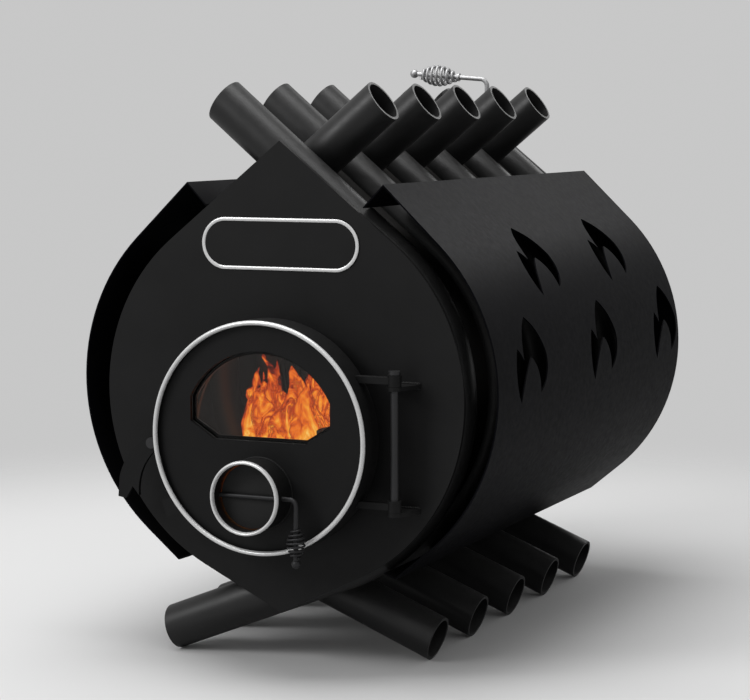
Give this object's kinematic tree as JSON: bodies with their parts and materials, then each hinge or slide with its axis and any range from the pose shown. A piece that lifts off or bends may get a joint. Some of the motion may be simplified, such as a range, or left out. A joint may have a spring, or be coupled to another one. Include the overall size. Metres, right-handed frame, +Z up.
{
  "type": "convection wood stove",
  "caption": "Cylindrical convection wood stove wrapped by bent air tubes, with curved casings, a round glazed door, a throttled air inlet and a rear flue with damper.",
  "frame": {"origin": "on the floor, under the middle of the stove's overall length and on its centre plane", "axes": "+Z up, front door faces -Y, flue leaves towards +Y, +X to the viewer's right"},
  "size_m": [0.571, 0.9324, 0.7621],
  "materials": {
    "black_paint": "semi-matt black stove enamel",
    "bright_steel": "satin bright trim",
    "wire_steel": "drawn wire, lightly scaled",
    "dark_wire": "blackened wire",
    "dark_steel": "oiled dark steel",
    "mill_steel": "heat-scaled sheet",
    "ceramic_rope": "braided sealing rope",
    "stove_glass": "heat-resistant ceramic glass, lightly smoked"
  },
  "bodies": {
    "stove": {"front_plate": "black_paint", "rear_plate": "black_paint", "air_tube_01_right": "black_paint", "air_tube_02_left": "black_paint", "air_tube_03_right": "black_paint", "air_tube_04_left": "black_paint", "air_tube_05_right": "black_paint", "air_tube_06_left": "black_paint", "air_tube_07_right": "black_paint", "air_tube_08_left": "black_paint", "air_tube_09_right": "black_paint", "air_tube_10_left": "black_paint", "air_tube_11_right": "black_paint", "skin_strip_left_1": "mill_steel", "skin_strip_left_2": "mill_steel", "skin_strip_left_3": "mill_steel", "skin_strip_left_4": "mill_steel", "skin_strip_left_5": "mill_steel", "skin_strip_left_6": "mill_steel", "skin_strip_right_1": "mill_steel", "skin_strip_right_2": "mill_steel", "skin_strip_right_3": "mill_steel", "skin_strip_right_4": "mill_steel", "skin_strip_right_5": "mill_steel", "casing_right": "black_paint", "casing_left": "black_paint", "name_plate": "black_paint", "name_plate_border": "bright_steel", "door_collar": "black_paint", "hinge_ear_upper": "black_paint", "hinge_ear_lower": "black_paint", "hinge_pin": "dark_steel", "latch_keeper": "black_paint", "flue_pipe": "black_paint", "damper_bush": "dark_steel", "smoke_baffle": "mill_steel"},
    "door": {"door_band": "black_paint", "door_trim_ring": "bright_steel", "door_disc": "black_paint", "door_rope_seal": "ceramic_rope", "rope_channel": "black_paint", "window_seal": "ceramic_rope", "window_glass": "stove_glass", "window_frame": "black_paint", "window_screws": "dark_steel", "air_rim": "bright_steel", "air_pipe": "black_paint", "hinge_arm_upper": "black_paint", "hinge_arm_lower": "black_paint", "latch_lug": "black_paint", "latch_bolt": "dark_steel"},
    "latch": {"latch_lever": "black_paint"},
    "throttle": {"throttle_disc": "mill_steel", "throttle_shaft": "dark_wire", "throttle_screws": "dark_wire", "throttle_handle_coil": "dark_wire"},
    "damper": {"damper_disc": "mill_steel", "damper_shaft": "wire_steel", "damper_screws": "wire_steel", "damper_handle_coil": "wire_steel"}
  },
  "joints": [
    {"name": "door_swing", "type": "hinge", "parent": "stove", "child": "door", "pos_m": [0.1695, -0.3982, 0.295], "axis": [0, 0, 1], "range_deg": [0, 110]},
    {"name": "latch_turn", "type": "hinge", "parent": "door", "child": "latch", "pos_m": [-0.158, -0.4062, 0.278], "axis": [0, -1, 0], "range_deg": [0, 40]},
    {"name": "throttle_turn", "type": "hinge", "parent": "door", "child": "throttle", "pos_m": [0, -0.4472, 0.227], "axis": [-1, 0, 0], "range_deg": [0, 90]},
    {"name": "damper_turn", "type": "hinge", "parent": "stove", "child": "damper", "pos_m": [0, 0.3365, 0.47], "axis": [0, 0, 1], "range_deg": [0, 90]}
  ]
}
